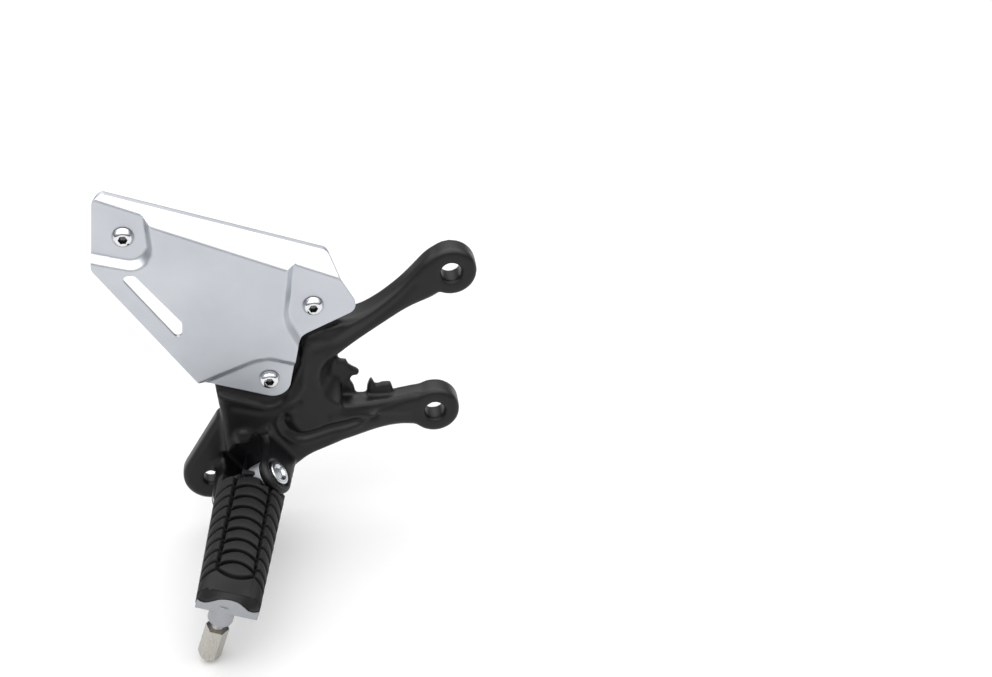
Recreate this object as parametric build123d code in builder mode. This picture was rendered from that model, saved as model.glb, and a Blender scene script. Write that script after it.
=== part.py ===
from build123d import *
from math import cos, radians, sin, sqrt
import os

# Motorcycle footrest bracket for the right-hand side, in millimetres.
# +X points to the front of the machine, +Y inboard and +Z up. The origin is the centre of the upper
# mounting bore on the face that meets the frame, so every depth below is measured outboard from there.

os.makedirs("parts", exist_ok=True)

# Mounting bosses
bore_dia = 10.5
boss_radius = 12.9
boss_depth = 12.5
boss_edge = 2.2
bore_offset = 9.7
bore_spread = 83.4

# Casting depths
frame_front = 16.5
frame_back = 7.5
lip_height = 2.5
body_back = 3.0
body_edge = 2.4
back_edge = 1.0
arm_edge = 3.6
lobe_front = 16.0
lobe_back = 7.0
lobe_edge = 2.6
lobe_flank = 58.5
lobe_foot = 20.6
recess_floor = 15.6

# Pedal pivot lobe
lobe_centre = (-128.0, -112.5)
lobe_radius = 14.4
pedal_thread_dia = 8.0

# Heel plate and its fixings
sheet = 1.8
pad_sink = 4.0
pad_step_taper = 40
pad_bend = 2.2
rear_reach = 156.4
rear_rise = 36.6
front_reach = 69.3
front_drop = 8.6
lower_reach = 93.5
lower_drop = 50.2
screw_dia = 6.0
screw_hole = 6.6
head_dia = 10.5
head_height = 3.3
hex_across = 4.0
hex_depth = 2.0
eye_radius = 11.8
eye_wall = 6.5
grommet_flange = 1.7
grommet_dia = 18.0
eye_bore = 13.0
sleeve_dia = 8.4
washer_dia = 18.0
washer_thick = 1.5
nut_across = 10.0
nut_height = 5.0
screw_end = 1.2

# Hinge
peg_root = (-106.0, -34.0, -103.7)
pin_ahead = 3.0
pin_drop = 1.0
peg_sweep = 8.5
peg_droop = 2.5
pin_tilt = 35.0
peg_roll = 15.0
pin_dia = 8.0
pin_fit = 0.04
knuckle_fit = 0.05
clevis_gap = 24.0
knuckle_play = 0.3
front_ear = 5.0
rear_ear = 7.5
ear_radius = 10.5
ear_edge = 1.4
pin_head_dia = 12.8
pin_head = 2.4
pin_dish_dia = 8.6
pin_dish = 1.2
spot_depth = 1.6
pin_washer_dia = 16.0
pin_washer_thick = 1.0
clip_thick = 1.2
clip_dia = 14.0
clip_groove = 0.8
pin_tail = 1.8
knuckle_radius = 9.5
stop_gap = 0.3
pocket_depth = 23.0
pocket_top = 15.5
pocket_bottom = 22.0
hump_radius = 5.5
hump_rise = 2.2

# Return spring
spring_wire = 1.6
spring_slot = 9.2
spring_radius = 5.4
spring_turns = 4
spring_pitch = 1.75
spring_inner_leg = 26.0
spring_outer_leg = 13.0
spring_hole = 2.4
spring_hole_end = 1.0

# Peg body, in the peg's own frame
core_half = 11.5
core_top = 6.2
core_bottom = -5.5
core_start = 12.0
core_wall = 3.0
core_floor = 3.7
screw_boss_dia = 10.0
end_wall = 3.6
end_wall_half = 14.9
end_wall_side = 2.0
end_wall_dip = 0.8
end_wall_crest = 5.4
end_wall_bottom = -3.6

# Rubber of the peg
rubber_start = 5.5
rubber_end = 88.0
rubber_crease = 81.0
rubber_half_root = 17.4
rubber_half_tip = 15.2
rubber_top = 12.0
rubber_bottom = -4.0
top_half = 9.2
shoulder = 3.5
end_radius = 26.0
end_slope = 0.9
ear_clearance = 0.7
tread_swing = 11.4
groove_width = 1.2
groove_depth = 1.4
long_groove = 9.4
arch_count = 9
arch_pitch = 8.0
arch_first = 8.0
arch_rise = 6.2
side_rise = 7.0

# Fixings of the rubber
insert_half = 5.0
insert_thick = 2.0
insert_ends = (20.0, 78.0)
rubber_screw_places = (34.0, 68.0)
rubber_screw_dia = 5.0
rubber_screw_head_dia = 8.6
rubber_screw_head = 2.8

# Feeler bolt
feeler_place = (-1.5, 86.0)
feeler_tilt = 2.0
feeler_boss_dia = 12.4
feeler_boss_bottom = -13.0
feeler_thread = 5.0
feeler_thread_hold = 12.0
feeler_across = 10.0
feeler_neck = 5.5
feeler_length = 21.0
feeler_dome = 3.0

# Places that follow from the sizes above
screw_points = {
    "rear": (-rear_reach, rear_rise),
    "front": (-front_reach, -front_drop),
    "lower": (-lower_reach, -lower_drop),
}
lower_bore = (-bore_offset, -bore_spread)
body_front = frame_front + lip_height
pad_back = frame_front + grommet_flange
pad_front = pad_back + sheet
plate_front = pad_front + pad_sink
eye_back = frame_front - eye_wall
washer_front = eye_back - grommet_flange
nut_front = washer_front - washer_thick
nut_back = nut_front - nut_height
knuckle_half = clevis_gap / 2 - knuckle_play
front_ear_face = clevis_gap / 2 + front_ear
rear_ear_face = -clevis_gap / 2 - rear_ear
pin_head_back = front_ear_face - spot_depth
spring_length = spring_turns * spring_pitch
deep = 200.0


def outboard(depth):
    """Plane parallel to the mating face, with its normal pointing outboard."""
    return Plane.XZ.offset(depth)


def unit_square_to(vector, axis):
    """The vector with its share along the axis taken away, made one long."""
    return (vector - axis * vector.dot(axis)).normalized()


outward = Vector(
    -sin(radians(peg_sweep)) * cos(radians(peg_droop)),
    -cos(radians(peg_sweep)) * cos(radians(peg_droop)),
    -sin(radians(peg_droop)),
)
inward = outward * -1
pin_axis = unit_square_to(Vector(cos(radians(pin_tilt)), 0, sin(radians(pin_tilt))), inward)
peg_across = unit_square_to(Vector(cos(radians(peg_roll)), 0, -sin(radians(peg_roll))), inward)

pin_up = pin_axis.cross(inward)
pin_centre = Vector(*peg_root) + outward * pin_ahead - pin_up * pin_drop

# Frame of the hinge: X along the pin to the front, Y inboard along the peg, Z up
pin_frame = Plane(origin=pin_centre, x_dir=pin_axis, z_dir=pin_up)
# Frame of the peg: X across it to the front, Y inboard along it, Z out of its tread
peg_frame = Plane(origin=peg_root, x_dir=peg_across, z_dir=peg_across.cross(inward))


def on_pin(plane):
    return Plane(pin_frame * plane)


def on_peg(plane):
    return Plane(peg_frame * plane)


def screw_axis(place, depth):
    """Plane through the axis of a heel plate screw, with Y outboard and its origin at the given depth."""
    return Plane(origin=(place[0], -depth, place[1]), x_dir=(1, 0, 0), z_dir=(0, 0, -1))


def tread_axis(across, distance, lean=0):
    """Plane through an axis square to the peg's tread, or leaning across it, with Y out of the tread."""
    lean_x = (cos(radians(lean)), 0, -sin(radians(lean)))
    return on_peg(Plane(origin=(across, -distance, 0), x_dir=lean_x, z_dir=(0, -1, 0)))


# Plane through the pin's axis, with Y along the pin to the front
along_pin = on_pin(Plane(origin=(0, 0, 0), x_dir=(0, 1, 0), z_dir=(0, 0, -1)))


def rounded(corners):
    """Closed face from corners given as x, y and corner radius."""
    with BuildLine() as outline:
        FilletPolyline(
            *[(x, y) for x, y, r in corners], radius=[r for x, y, r in corners], close=True
        )
    make_face(outline.edges())


def turned(plane, corners, mode=Mode.ADD):
    """Solid of revolution about the Y axis of the plane, from corners given as radius, height, rounding."""
    with BuildSketch(plane) as profile:
        rounded(corners)
    revolve(profile.sketch, axis=Axis(plane.origin, plane.y_dir), mode=mode)


def by_screw(name, right, up, radius=0):
    """Corner of an outline, given from one of the heel plate's screws."""
    return (screw_points[name][0] + right, screw_points[name][1] + up, radius)


plate_corners = [
    by_screw("rear", -11.9, 23.4, 4.5),
    by_screw("front", 8.6, 24.2, 6.0),
    by_screw("front", 22.8, -3.4, 5.5),
    by_screw("front", -7.9, -17.6, 9.0),
    by_screw("lower", 8.2, -13.5, 9.0),
    by_screw("lower", -34.5, 1.8, 7.0),
    by_screw("rear", -16.6, -14.8, 4.0),
]

# Fold line between the main face and the flange, then the normal of the flange
fold_start = by_screw("rear", 14.4, 6.5)
fold_end = by_screw("front", -13.8, 24.4)
flange_normal = (0.359, -0.519, 0.775)

# Sunk pads, at their floor: rear, front and lower
pad_corners = [
    [
        by_screw("rear", -29.0, -3.6),
        by_screw("rear", 5.4, -14.1, 7),
        by_screw("rear", 10.2, -6.6, 5),
        by_screw("rear", 9.6, 40.0),
        by_screw("rear", -29.0, 40.0),
    ],
    [
        by_screw("front", -5.3, 40.0),
        by_screw("front", -12.4, -5.5, 18),
        by_screw("front", 1.3, -36.4),
        by_screw("front", 39.3, -36.4),
        by_screw("front", 39.3, 40.0),
    ],
    [
        by_screw("lower", -46.5, -5.3),
        by_screw("lower", -6.5, 10.7, 6),
        by_screw("lower", 0.7, 11.6, 6),
        by_screw("lower", 23.5, 3.6),
        by_screw("lower", 23.5, -29.8),
        by_screw("lower", -46.5, -29.8),
    ],
]
slot_corners = [
    by_screw("rear", -4.1, -19.1, 2.2),
    by_screw("rear", 3.4, -19.4, 2.2),
    by_screw("rear", 23.2, -47.6, 2.2),
    by_screw("rear", 22.1, -59.6, 2.2),
]

# Seat of the heel plate in the casting, with the lip along its lower and front edges
seat_corners = [
    by_screw("lower", -56.5, 6.3),
    by_screw("lower", 4.0, -21.8, 10),
    by_screw("front", -8.3, -35.4, 14),
    by_screw("front", -6.0, -19.8, 7),
    by_screw("front", 19.3, -9.8),
    by_screw("front", 49.3, 68.6),
    by_screw("rear", -44.0, 54.0),
    by_screw("rear", -44.0, -56.0),
]

# Sections of the arms: x, upper and lower edge, outboard and inboard face
upper_arm = [
    (-5.0, 10.2, -11.2, 12.0, 0.6),
    (-13.5, 6.6, -16.2, 12.1, 0.6),
    (-23.0, -3.4, -20.0, 12.9, 0.8),
    (-33.0, -11.6, -25.2, 14.7, 1.4),
    (-43.5, -17.6, -30.8, 17.0, 2.4),
    (-54.0, -19.9, -37.0, 19.2, 3.4),
    (-66.0, -22.5, -46.0, 18.4, 4.5),
]
lower_arm = [
    (-14.0, 11.4, -11.2, 12.0, 0.6),
    (-22.5, 10.8, -8.4, 12.4, 0.6),
    (-33.5, 9.4, -7.2, 14.0, 1.0),
    (-44.0, 9.8, -7.8, 16.6, 2.2),
    (-56.0, 11.2, -9.8, 19.3, 3.2),
    (-67.0, 11.4, -12.6, 18.4, 4.5),
]


def arm(sections, height):
    """Arm lofted through its sections, with its edges given from a height."""
    faces = []
    for x, top, bottom, front, back in sections:
        with BuildSketch(Plane.YZ.offset(x)) as section:
            rounded(
                [
                    (-front, height + bottom, arm_edge),
                    (-back, height + bottom, arm_edge / 2),
                    (-back, height + top, arm_edge / 2),
                    (-front, height + top, arm_edge),
                ]
            )
        faces.append(section.sketch)
    with BuildPart() as form:
        loft(faces)
    return form.part


def soft_block(face, back, front, front_edge):
    """Cast block from a flat face, with a soft outboard edge and a small inboard one."""
    with BuildPart() as form:
        extrude(outboard(back) * face, amount=front - back)
        fillet(form.faces().sort_by(Axis.Y)[0].edges(), front_edge)
        fillet(form.faces().sort_by(Axis.Y)[-1].edges(), back_edge)
    return form.part


def clevis_ear(near, thick):
    """Ear of the clevis, square to the pin, from the given distance along it."""
    with BuildPart() as form:
        with BuildSketch(on_pin(Plane.YZ.offset(near))) as outline:
            Circle(ear_radius)
            with BuildLine() as flare:
                Polyline(
                    (0, ear_radius),
                    (14, ear_radius + 0.6),
                    (25, ear_radius + 5.0),
                    (25, -ear_radius - 1.0),
                    (0, -ear_radius),
                    close=True,
                )
            make_face(flare.edges())
        extrude(outline.sketch, amount=thick)
        fillet(form.edges().filter_by(GeomType.CIRCLE), ear_edge)
    return form.part


with BuildSketch() as body_outline:
    rounded(
        [
            (-57.5, -19.4, 2),
            (-66.0, -19.4, 6),
            (-84.0, -30.0, 20),
            (-104.0, -38.0, 6),
            (-121.6, -50.0, 4),
            (-119.6, -71.3, 20),
            (-118.0, -124.1, 1.5),
            (-89.5, -112.4, 20),
            (-76.4, -101.2, 30),
            (-58.0, -93.6, 3),
            (-58.0, -30.0, 3),
        ]
    )
with BuildSketch() as lobe_outline:
    with BuildLine():
        lobe_arc = CenterArc(lobe_centre, lobe_radius, 90 + lobe_flank, 180 + lobe_foot - lobe_flank)
        flank_line = PolarLine(lobe_arc @ 0, 36, lobe_flank)
        foot_line = PolarLine(lobe_arc @ 1, 20, lobe_foot)
        Polyline(flank_line @ 1, ((foot_line @ 1).X, (flank_line @ 1).Y), foot_line @ 1)
    make_face()

with BuildPart() as bracket_casting:
    # Lower body, pedal pivot lobe, arms and their bosses
    add(soft_block(body_outline.sketch, body_back, body_front, body_edge))
    add(soft_block(lobe_outline.sketch, lobe_back, lobe_front, lobe_edge))
    add(arm(upper_arm, 0))
    add(arm(lower_arm, lower_bore[1]))
    for place in ((0, 0), lower_bore):
        turned(
            screw_axis(place, 0),
            [
                (0, 0, 0),
                (boss_radius, 0, boss_edge / 2),
                (boss_radius, boss_depth, boss_edge),
                (0, boss_depth, 0),
            ],
        )

    # Sloped recess in the lower arm
    with BuildSketch(outboard(recess_floor)):
        rounded(
            [
                (-87.5, -77.5, 1.2),
                (-84.2, -77.0, 1.2),
                (-77.0, -87.0, 4),
                (-50.0, -82.8, 0.4),
                (-61.0, -86.0, 12),
                (-80.5, -89.2, 3),
                (-88.2, -80.8, 1.5),
            ]
        )
    with BuildSketch(outboard(body_front + 1)):
        rounded(
            [
                (-90.0, -74.0, 2.5),
                (-83.0, -73.5, 2.5),
                (-75.0, -85.0, 5),
                (-38.0, -79.5, 0.6),
                (-60.0, -88.0, 15),
                (-82.0, -91.5, 5),
                (-92.0, -80.0, 3),
            ]
        )
    loft(mode=Mode.SUBTRACT)

    # Open frame behind the heel plate
    with BuildSketch(outboard(frame_back)):
        rounded(
            [
                by_screw("rear", -6.6, 12.4, 10),
                by_screw("rear", 10.4, 7.4, 12),
                by_screw("front", -16.7, 25.6, 12),
                by_screw("front", 7.3, 13.6, 8),
                by_screw("front", 12.3, -7.4, 6),
                by_screw("front", 3.3, -23.4, 8),
                by_screw("lower", 11.5, -11.3, 10),
                by_screw("lower", -25.5, -11.8, 4),
                by_screw("lower", -29.3, 5.2, 20),
                by_screw("lower", -31.5, 24.2, 20),
                by_screw("lower", -36.5, 41.2, 20),
                by_screw("rear", 7.4, -13.6, 14),
                by_screw("rear", -13.6, -7.6, 10),
            ]
        )
    extrude(amount=frame_front - frame_back)
    with BuildSketch(outboard(frame_back)):
        for place in screw_points.values():
            with Locations(place):
                Circle(eye_radius)
    extrude(amount=frame_front - frame_back)
    window_corners = [
        [(-136.0, 23.0, 4), (-132.0, 28.6, 3), (-104.6, 19.5, 3), (-118.8, -2.5, 3), (-122.5, 3.5, 4)],
        [
            (-97.0, 16.6, 3),
            (-80.0, 9.6, 3),
            (-83.8, -3.0, 5),
            (-81.8, -14.0, 4),
            (-89.8, -31.0, 3),
            (-98.0, -30.8, 4),
            (-115.5, -17.0, 3),
        ],
    ]
    for corners in window_corners:
        with BuildSketch(outboard(0)):
            rounded(corners)
        extrude(amount=deep, mode=Mode.SUBTRACT)

    # Seat for the heel plate
    with BuildSketch(outboard(frame_front)):
        rounded(seat_corners)
    extrude(amount=deep, mode=Mode.SUBTRACT)

    # Clevis with a hump over its pocket
    add(clevis_ear(clevis_gap / 2, front_ear))
    add(clevis_ear(rear_ear_face, rear_ear))
    with Locations(Location((-109.0, -body_front, -85.5), (90, 0, 0))):
        Cone(hump_radius + 1, hump_radius - 2, 2 * hump_rise)
    with BuildSketch(on_pin(Plane.XY.offset(-pocket_bottom))):
        Rectangle(clevis_gap, 2 * pocket_depth)
    extrude(amount=pocket_bottom + pocket_top, mode=Mode.SUBTRACT)

    # Scoop in the notch between the arms
    with Locations(Location((-52.5, -body_front / 2, -54.5), (90, 0, 0))):
        Cone(bottom_radius=4.5, top_radius=16.8, height=body_front, mode=Mode.SUBTRACT)

    # Cable hooks on the inboard side of the notch
    with BuildSketch(outboard(body_back)):
        rounded(
            [
                (-61.0, -76.0, 0),
                (-61.0, -51.6, 1.2),
                (-54.2, -51.6, 1.2),
                (-53.2, -55.0, 1),
                (-47.6, -59.0, 0.8),
                (-48.8, -61.8, 0.8),
                (-51.6, -61.0, 0.8),
                (-53.0, -64.0, 1.5),
                (-51.0, -68.0, 1.5),
                (-49.6, -76.0, 0),
            ]
        )
        rounded(
            [
                (-45.0, -76.0, 0),
                (-44.2, -68.6, 2),
                (-42.6, -64.4, 0.6),
                (-41.0, -65.0, 0.6),
                (-40.4, -69.2, 1.5),
                (-36.6, -67.6, 1.2),
                (-31.8, -67.6, 1.2),
                (-30.0, -76.0, 0),
            ]
        )
    extrude(amount=4)

    # Bores
    with BuildSketch(outboard(-1)):
        with Locations((0, 0), lower_bore):
            Circle(bore_dia / 2)
    extrude(amount=deep, mode=Mode.SUBTRACT)
    with BuildSketch(outboard(0)):
        with Locations(lobe_centre):
            Circle(pedal_thread_dia / 2)
    extrude(amount=deep, mode=Mode.SUBTRACT)
    with BuildSketch(outboard(0)):
        with Locations(*screw_points.values()):
            Circle(eye_bore / 2)
    extrude(amount=deep, mode=Mode.SUBTRACT)
    with BuildSketch(outboard(0)):
        with Locations(*screw_points.values()):
            Circle(grommet_dia / 2 + 0.8)
    extrude(amount=eye_back, mode=Mode.SUBTRACT)
    with BuildSketch(on_pin(Plane.YZ)):
        Circle(pin_dia / 2 + pin_fit)
    extrude(amount=2 * clevis_gap, both=True, mode=Mode.SUBTRACT)
    with BuildSketch(on_pin(Plane.YZ.offset(pin_head_back))):
        Circle(pin_head_dia / 2 + 1)
    extrude(amount=clevis_gap, mode=Mode.SUBTRACT)
    with BuildSketch(on_pin(Plane.XZ)):
        with Locations((-spring_length / 2, spring_radius)):
            Circle(spring_hole / 2)
    extrude(amount=-spring_inner_leg - spring_hole_end, mode=Mode.SUBTRACT)
bracket_casting.part.label = "bracket_casting"
export_step(bracket_casting.part, "parts/bracket_casting.step")


# Heel plate: one sheet with a folded top flange and three sunk pads
flange_fold = Plane(
    origin=(fold_start[0], -plate_front, fold_start[1]),
    x_dir=(fold_end[0] - fold_start[0], 0, fold_end[1] - fold_start[1]),
    z_dir=flange_normal,
)


def plate_form(skin, margin):
    """Everything behind the outboard face of the heel plate, moved in by a skin, wider by a margin."""
    with BuildPart() as form:
        with BuildSketch(outboard(0)) as outline:
            rounded(plate_corners)
            if margin:
                offset(amount=margin)
        extrude(outline.sketch, amount=plate_front - skin)
        split(bisect_by=flange_fold.offset(-skin), keep=Keep.BOTTOM)
        for corners in pad_corners:
            with BuildSketch(outboard(pad_front - skin)) as pad:
                rounded(corners)
            extrude(pad.sketch, amount=2 * pad_sink, taper=-pad_step_taper, mode=Mode.SUBTRACT)
    return form.part


with BuildPart() as heel_plate:
    add(plate_form(0, 0))
    for level in (plate_front, pad_front):
        square = heel_plate.faces().filter_by(Axis.Y)
        flats = square.filter_by_position(Axis.Y, -level - 0.01, -level + 0.01)
        upright = heel_plate.faces().filter_by(lambda face: abs(face.normal_at().Y) < 0.01)
        sides = upright.edges()
        bends = [edge for edge in flats.edges() if not any(edge.is_same(side) for side in sides)]
        fillet(bends, pad_bend)
    add(plate_form(sheet, 5), mode=Mode.SUBTRACT)
    with BuildSketch(outboard(0)):
        rounded(slot_corners)
        with Locations(*screw_points.values()):
            Circle(screw_hole / 2)
    extrude(amount=deep, mode=Mode.SUBTRACT)
heel_plate.part.label = "heel_plate"
export_step(heel_plate.part, "parts/heel_plate.step")

# Fixings of the heel plate
for name, place in screw_points.items():
    with BuildPart() as plate_screw:
        turned(
            screw_axis(place, pad_front),
            [
                (0, 0, 0),
                (head_dia / 2, 0, 0),
                (head_dia / 2, 0.6, 0.8),
                (head_dia / 2 - 1.4, head_height, 2.6),
                (0, head_height, 0),
            ],
        )
        with BuildSketch(outboard(pad_front)):
            with Locations(place):
                Circle(screw_dia / 2)
        extrude(amount=-(pad_front - nut_back + screw_end))
        with BuildSketch(outboard(pad_front + head_height - hex_depth)):
            with Locations(place):
                RegularPolygon(hex_across / 2, 6, major_radius=False)
        extrude(amount=hex_depth, mode=Mode.SUBTRACT)
    plate_screw.part.label = f"plate_screw_{name}"
    export_step(plate_screw.part, f"parts/plate_screw_{name}.step")

    with BuildPart() as grommet:
        turned(
            screw_axis(place, washer_front),
            [
                (sleeve_dia / 2, 0, 0),
                (grommet_dia / 2, 0, 0.6),
                (grommet_dia / 2, grommet_flange, 0),
                (eye_bore / 2, grommet_flange, 0),
                (eye_bore / 2, grommet_flange + eye_wall, 0),
                (grommet_dia / 2, grommet_flange + eye_wall, 0),
                (grommet_dia / 2, 2 * grommet_flange + eye_wall, 0.6),
                (sleeve_dia / 2, 2 * grommet_flange + eye_wall, 0),
            ],
        )
    grommet.part.label = f"grommet_{name}"
    export_step(grommet.part, f"parts/grommet_{name}.step")

    with BuildPart() as sleeve:
        with BuildSketch(outboard(washer_front)):
            with Locations(place):
                Circle(sleeve_dia / 2)
                Circle(screw_hole / 2, mode=Mode.SUBTRACT)
        extrude(amount=pad_back - washer_front)
    sleeve.part.label = f"sleeve_{name}"
    export_step(sleeve.part, f"parts/sleeve_{name}.step")

    with BuildPart() as washer:
        with BuildSketch(outboard(nut_front)):
            with Locations(place):
                Circle(washer_dia / 2)
                Circle(screw_hole / 2, mode=Mode.SUBTRACT)
        extrude(amount=washer_thick)
    washer.part.label = f"washer_{name}"
    export_step(washer.part, f"parts/washer_{name}.step")

    with BuildPart() as nut:
        with BuildSketch(outboard(nut_back)):
            with Locations(place):
                RegularPolygon(nut_across / 2, 6, major_radius=False)
                Circle(screw_dia / 2, mode=Mode.SUBTRACT)
        extrude(amount=nut_height)
    nut.part.label = f"nut_{name}"
    export_step(nut.part, f"parts/nut_{name}.step")


# Pivot pin, its washer and its clip
clip_front = rear_ear_face - pin_washer_thick
clip_back = clip_front - clip_thick
pin_end = clip_back - pin_tail
with BuildPart() as pivot_pin:
    turned(
        along_pin,
        [
            (0, pin_end, 0),
            (pin_dia / 2, pin_end, 0.8),
            (pin_dia / 2, clip_back, 0),
            (pin_dia / 2 - clip_groove, clip_back, 0),
            (pin_dia / 2 - clip_groove, clip_front, 0),
            (pin_dia / 2, clip_front, 0),
            (pin_dia / 2, pin_head_back, 0),
            (pin_head_dia / 2, pin_head_back, 0),
            (pin_head_dia / 2, pin_head_back + pin_head, 0.6),
            (pin_dish_dia / 2, pin_head_back + pin_head, 0.3),
            (pin_dish_dia / 2 - pin_dish, pin_head_back + pin_head - pin_dish, 0.5),
            (0, pin_head_back + pin_head - pin_dish, 0),
        ],
    )
pivot_pin.part.label = "pivot_pin"
export_step(pivot_pin.part, "parts/pivot_pin.step")

with BuildPart() as pin_washer:
    with BuildSketch(on_pin(Plane.YZ.offset(clip_front))):
        Circle(pin_washer_dia / 2)
        Circle(pin_dia / 2 + pin_fit, mode=Mode.SUBTRACT)
    extrude(amount=pin_washer_thick)
pin_washer.part.label = "pin_washer"
export_step(pin_washer.part, "parts/pin_washer.step")

with BuildPart() as retaining_clip:
    with BuildSketch(on_pin(Plane.YZ.offset(clip_back))):
        Circle(clip_dia / 2)
        Circle(pin_dia / 2 - clip_groove, mode=Mode.SUBTRACT)
        with Locations((0, -clip_dia / 2)):
            Rectangle(pin_dia - 2.5 * clip_groove, clip_dia, mode=Mode.SUBTRACT)
    extrude(amount=clip_thick)
retaining_clip.part.label = "retaining_clip"
export_step(retaining_clip.part, "parts/retaining_clip.step")


# Return spring: one leg in a hole of the bracket, the other in a hole of the peg body
spring_frame = on_pin(Plane(origin=(-spring_length / 2, 0, 0), x_dir=(0, 0, 1), z_dir=(1, 0, 0)))
with BuildPart() as upright_spring:
    with BuildLine() as coil:
        turns = Helix(spring_pitch, spring_length, spring_radius)
        Line(turns @ 0 - Vector(0, spring_inner_leg, 0), turns @ 0)
        Line(turns @ 1, turns @ 1 + Vector(0, spring_outer_leg, 0))
    with BuildSketch(Plane(origin=coil.wire() @ 0, z_dir=coil.wire() % 0)):
        Circle(spring_wire / 2)
    sweep(path=coil.wire(), is_frenet=True)
with BuildPart() as return_spring:
    add(spring_frame * upright_spring.part)
return_spring.part.label = "return_spring"
export_step(return_spring.part, "parts/return_spring.step")


feeler_axis = tread_axis(*feeler_place, feeler_tilt)

# Peg body without its hollows, which also shapes the inside of the rubber
with BuildPart() as peg_blank:
    with BuildSketch(on_pin(Plane.YZ.offset(-knuckle_half))):
        Circle(knuckle_radius)
    extrude(amount=2 * knuckle_half)
    with BuildSketch(on_peg(Plane.XZ.offset(pin_ahead))):
        rounded(
            [
                (-core_half - 2, core_bottom - 1, 2),
                (core_half + 2, core_bottom - 1, 2),
                (core_half + 2, core_top + 2, 2),
                (-core_half - 2, core_top + 2, 2),
            ]
        )
    extrude(amount=core_start + 4 - pin_ahead)
    with BuildSketch(on_pin(Plane.XZ.offset(-knuckle_radius - 1))):
        Rectangle(2 * knuckle_half, 2 * knuckle_radius)
    extrude(amount=knuckle_radius + core_start + 5, mode=Mode.INTERSECT)
    with BuildSketch(on_peg(Plane.XZ.offset(core_start))):
        rounded(
            [
                (-core_half, core_bottom, 1),
                (core_half, core_bottom, 1),
                (core_half, core_top, 1),
                (-core_half, core_top, 1),
            ]
        )
    extrude(amount=rubber_end - core_start)

with BuildPart() as peg_body:
    add(peg_blank.part)
    # Stop lug that meets the floor of the pocket
    with BuildSketch(on_pin(Plane.YZ.offset(-knuckle_half))):
        with Locations(((pocket_depth - stop_gap) / 2, -(knuckle_radius + 2) / 2)):
            Rectangle(pocket_depth - stop_gap, knuckle_radius - 2)
    extrude(amount=2 * knuckle_half)
    # End wall with its wavy top
    with BuildSketch(on_peg(Plane.XZ.offset(rubber_end))):
        with BuildLine():
            Polyline(
                (-end_wall_half, end_wall_side),
                (-end_wall_half, end_wall_bottom),
                (end_wall_half, end_wall_bottom),
                (end_wall_half, end_wall_side),
            )
            Spline(
                (end_wall_half, end_wall_side),
                (end_wall_half * 0.7, end_wall_dip),
                (end_wall_half * 0.37, end_wall_dip + 3.4),
                (0, end_wall_crest),
                (-end_wall_half * 0.37, end_wall_dip + 3.0),
                (-end_wall_half * 0.7, end_wall_dip),
                (-end_wall_half, end_wall_side),
            )
        make_face()
    extrude(amount=end_wall)
    # Boss of the feeler bolt
    turned(
        feeler_axis,
        [
            (0, 0, 0),
            (0, feeler_boss_bottom, 0),
            (feeler_boss_dia / 2, feeler_boss_bottom, 0.8),
            (feeler_boss_dia / 2, 0, 0),
        ],
    )
    # Hollow underside round the two screw bosses
    with BuildSketch(on_peg(Plane.XY.offset(core_bottom))):
        with Locations((0, -(core_start + 8 + feeler_place[1] - feeler_boss_dia / 2 - 2) / 2)):
            Rectangle(
                2 * (core_half - core_wall),
                feeler_place[1] - feeler_boss_dia / 2 - 2 - core_start - 8,
            )
        for place in rubber_screw_places:
            with Locations((0, -place)):
                Circle(screw_boss_dia / 2, mode=Mode.SUBTRACT)
    extrude(amount=core_top - core_floor - core_bottom, mode=Mode.SUBTRACT)
    # Slot of the spring, and the bores
    with BuildSketch(on_pin(Plane.YZ.offset(-spring_slot / 2))):
        with Locations((pocket_depth / 2 - 4.0, 0)):
            Rectangle(pocket_depth + 8.0, 3 * knuckle_radius)
    extrude(amount=spring_slot, mode=Mode.SUBTRACT)
    with BuildSketch(on_pin(Plane.YZ)):
        Circle(pin_dia / 2 + knuckle_fit)
    extrude(amount=clevis_gap, both=True, mode=Mode.SUBTRACT)
    with BuildSketch(on_pin(Plane.XZ)):
        with Locations((spring_length / 2, spring_radius)):
            Circle(spring_hole / 2)
    extrude(amount=spring_outer_leg + spring_hole_end, mode=Mode.SUBTRACT)
    for place in rubber_screw_places:
        turned(
            tread_axis(0, place),
            [
                (0, core_bottom, 0),
                (rubber_screw_head_dia / 2 + 0.2, core_bottom, 0),
                (rubber_screw_head_dia / 2 + 0.2, core_bottom + rubber_screw_head, 0),
                (rubber_screw_dia / 2 + 0.3, core_bottom + rubber_screw_head, 0),
                (rubber_screw_dia / 2 + 0.3, core_top, 0),
                (0, core_top, 0),
            ],
            mode=Mode.SUBTRACT,
        )
    turned(
        feeler_axis,
        [
            (0, feeler_boss_bottom, 0),
            (feeler_thread / 2, feeler_boss_bottom, 0),
            (feeler_thread / 2, feeler_boss_bottom + feeler_thread_hold, 0),
            (0, feeler_boss_bottom + feeler_thread_hold, 0),
        ],
        mode=Mode.SUBTRACT,
    )
peg_body.part.label = "peg_body"
export_step(peg_body.part, "parts/peg_body.step")


# Rubber of the peg
insert_top = core_top + insert_thick


def rubber_section(distance, skin=0):
    """Section of the rubber at a distance along the peg, moved in by a skin."""
    share = (distance - rubber_start) / (rubber_end - rubber_start)
    half = rubber_half_root + (rubber_half_tip - rubber_half_root) * share - skin
    with BuildSketch(on_peg(Plane.XZ.offset(distance))) as section:
        rounded(
            [
                (-half, rubber_bottom, 1),
                (half, rubber_bottom, 1),
                (half, shoulder - skin / 2, 2),
                (top_half - skin / 2, rubber_top - skin, 2.5),
                (skin / 2 - top_half, rubber_top - skin, 2.5),
                (-half, shoulder - skin / 2, 2),
            ]
        )
    return section.sketch


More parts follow.
